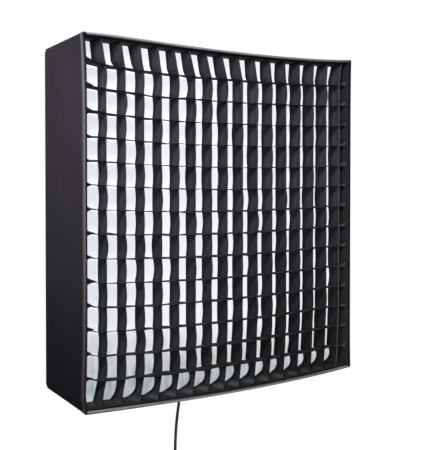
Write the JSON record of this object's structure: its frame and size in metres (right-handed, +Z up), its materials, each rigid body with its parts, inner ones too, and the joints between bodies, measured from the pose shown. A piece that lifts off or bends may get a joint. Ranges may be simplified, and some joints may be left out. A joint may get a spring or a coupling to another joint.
{
  "type": "softbox",
  "caption": "Square fabric softbox with an egg-crate grid over a set-back diffuser, lit by a flexible panel on folding arms and a tilting stand head.",
  "frame": {"origin": "centre of the mouth of the stand socket", "axes": "+Z up along the stand; the lit front faces -Y; +X to the right seen from the front"},
  "size_m": [0.6676, 0.3898, 0.8738],
  "materials": {
    "black_fabric": "woven nylon, slight sheen",
    "strip_fabric": "soft woven ribbon",
    "silver_fabric": "crinkled silver coating",
    "white_cloth": "fine woven diffusion cloth",
    "binding_tape": "ribbed tape",
    "hook_tape": "hook and loop tape",
    "elastic": "flat elastic",
    "glass_fibre": "drawn rod",
    "black_plastic": "moulded, fine grain",
    "black_metal": "black anodised",
    "bare_aluminium": "turned",
    "steel": "zinc plated",
    "brass": "turned",
    "friction_disc": "acetal",
    "panel_cover": "coated nylon over foam",
    "circuit": "white solder mask",
    "light_chip": "yellow phosphor",
    "cable_rubber": "matt jacket"
  },
  "bodies": {
    "receiver": {"stand_receiver": "black_metal", "tilt_bolt": "steel", "friction_washers": "friction_disc"},
    "receiver_pad": {"receiver_pad": "brass"},
    "receiver_knob": {"receiver_screw": "steel", "receiver_knob": "black_plastic"},
    "tilt_lever": {"tilt_lever": "black_plastic", "lever_insert": "brass"},
    "neck": {"neck_block": "black_metal"},
    "neck_pad": {"neck_pad": "brass"},
    "neck_knob": {"neck_screw": "steel", "neck_knob": "black_plastic"},
    "lamp": {"wall_left": "black_fabric", "wall_right": "black_fabric", "wall_top": "black_fabric", "wall_bottom": "black_fabric", "rear_flaps": "black_fabric", "wall_lining": "silver_fabric", "rim_hook_band": "hook_tape", "front_binding": "binding_tape", "inner_baffle": "white_cloth", "baffle_straps": "elastic", "corner_stays": "glass_fibre", "stay_sockets": "black_plastic", "stay_caps": "black_plastic", "panel_backing": "panel_cover", "led_board": "circuit", "led_chips": "light_chip", "corner_grommets": "steel", "hook_strips": "hook_tape", "power_cable": "cable_rubber", "cable_boot": "black_plastic", "connector_shell": "black_plastic", "connector_insert": "black_plastic", "connector_pins": "brass", "frame_hub": "black_metal", "hub_cover": "black_plastic", "cover_screws": "steel", "arm_pivot_pins": "steel", "arm_plungers": "steel", "hub_spigot": "bare_aluminium", "spigot_bolt": "steel"},
    "arm_top_right": {"arm_top_right_knuckle": "black_metal", "arm_top_right_tube": "bare_aluminium", "arm_top_right_tip": "black_plastic"},
    "arm_top_left": {"arm_top_left_knuckle": "black_metal", "arm_top_left_tube": "bare_aluminium", "arm_top_left_tip": "black_plastic"},
    "arm_bottom_left": {"arm_bottom_left_knuckle": "black_metal", "arm_bottom_left_tube": "bare_aluminium", "arm_bottom_left_tip": "black_plastic"},
    "arm_bottom_right": {"arm_bottom_right_knuckle": "black_metal", "arm_bottom_right_tube": "bare_aluminium", "arm_bottom_right_tip": "black_plastic"},
    "plug_ring": {"connector_ring": "bare_aluminium"},
    "diffuser": {"front_diffuser": "white_cloth", "diffuser_border": "hook_tape"},
    "grid": {"grid_border": "strip_fabric", "grid_vertical_strips": "strip_fabric", "grid_horizontal_strips": "strip_fabric"}
  },
  "joints": [
    {"name": "head_tilt", "type": "hinge", "parent": "receiver", "child": "neck", "pos_m": [0, 0, 0.086], "axis": [-1, 0, 0], "range_deg": [-20, 90]},
    {"name": "lamp_roll", "type": "hinge", "parent": "neck", "child": "lamp", "pos_m": [0, -0.06, 0.086], "axis": [0, 1, 0], "range_deg": [-90, 90]},
    {"name": "lever_swing", "type": "hinge", "parent": "receiver", "child": "tilt_lever", "pos_m": [0.026, 0, 0.086], "axis": [1, 0, 0], "range_deg": [-60, 60]},
    {"name": "receiver_pad_slide", "type": "slide", "parent": "receiver", "child": "receiver_pad", "axis": [0, -1, 0], "range_m": [0, 0.004]},
    {"name": "receiver_knob_turn", "type": "hinge", "parent": "receiver_pad", "child": "receiver_knob", "pos_m": [0, 0.03, 0.024], "axis": [0, -1, 0], "range_deg": [0, 1152]},
    {"name": "neck_pad_slide", "type": "slide", "parent": "neck", "child": "neck_pad", "axis": [0, 0, -1], "range_m": [0, 0.00125]},
    {"name": "neck_knob_turn", "type": "hinge", "parent": "neck_pad", "child": "neck_knob", "pos_m": [0, -0.06, 0.115], "axis": [0, 0, -1], "range_deg": [0, 360]},
    {"name": "arm_top_right_fold", "type": "hinge", "parent": "lamp", "child": "arm_top_right", "pos_m": [0.03253, -0.16, 0.11853], "axis": [-0.7071, 0, 0.7071], "range_deg": [0, 75]},
    {"name": "arm_top_left_fold", "type": "hinge", "parent": "lamp", "child": "arm_top_left", "pos_m": [-0.03253, -0.16, 0.11853], "axis": [-0.7071, 0, -0.7071], "range_deg": [0, 75]},
    {"name": "arm_bottom_left_fold", "type": "hinge", "parent": "lamp", "child": "arm_bottom_left", "pos_m": [-0.03253, -0.16, 0.05347], "axis": [0.7071, 0, -0.7071], "range_deg": [0, 75]},
    {"name": "arm_bottom_right_fold", "type": "hinge", "parent": "lamp", "child": "arm_bottom_right", "pos_m": [0.03253, -0.16, 0.05347], "axis": [0.7071, 0, 0.7071], "range_deg": [0, 75]},
    {"name": "plug_ring_turn", "type": "hinge", "parent": "lamp", "child": "plug_ring", "pos_m": [0, -0.15622, -0.454], "axis": [0, 0, 1], "range_deg": [0, 90]},
    {"name": "diffuser_pull", "type": "slide", "parent": "lamp", "child": "diffuser", "axis": [0, -1, 0], "range_m": [0, 0.06]},
    {"name": "grid_pull", "type": "slide", "parent": "diffuser", "child": "grid", "axis": [0, -1, 0], "range_m": [0, 0.06]}
  ],
  "couplings": [
    {"joint": "receiver_knob_turn", "follows": "receiver_pad_slide", "rad_per_m": 5026.5},
    {"joint": "neck_knob_turn", "follows": "neck_pad_slide", "rad_per_m": 5026.5}
  ]
}
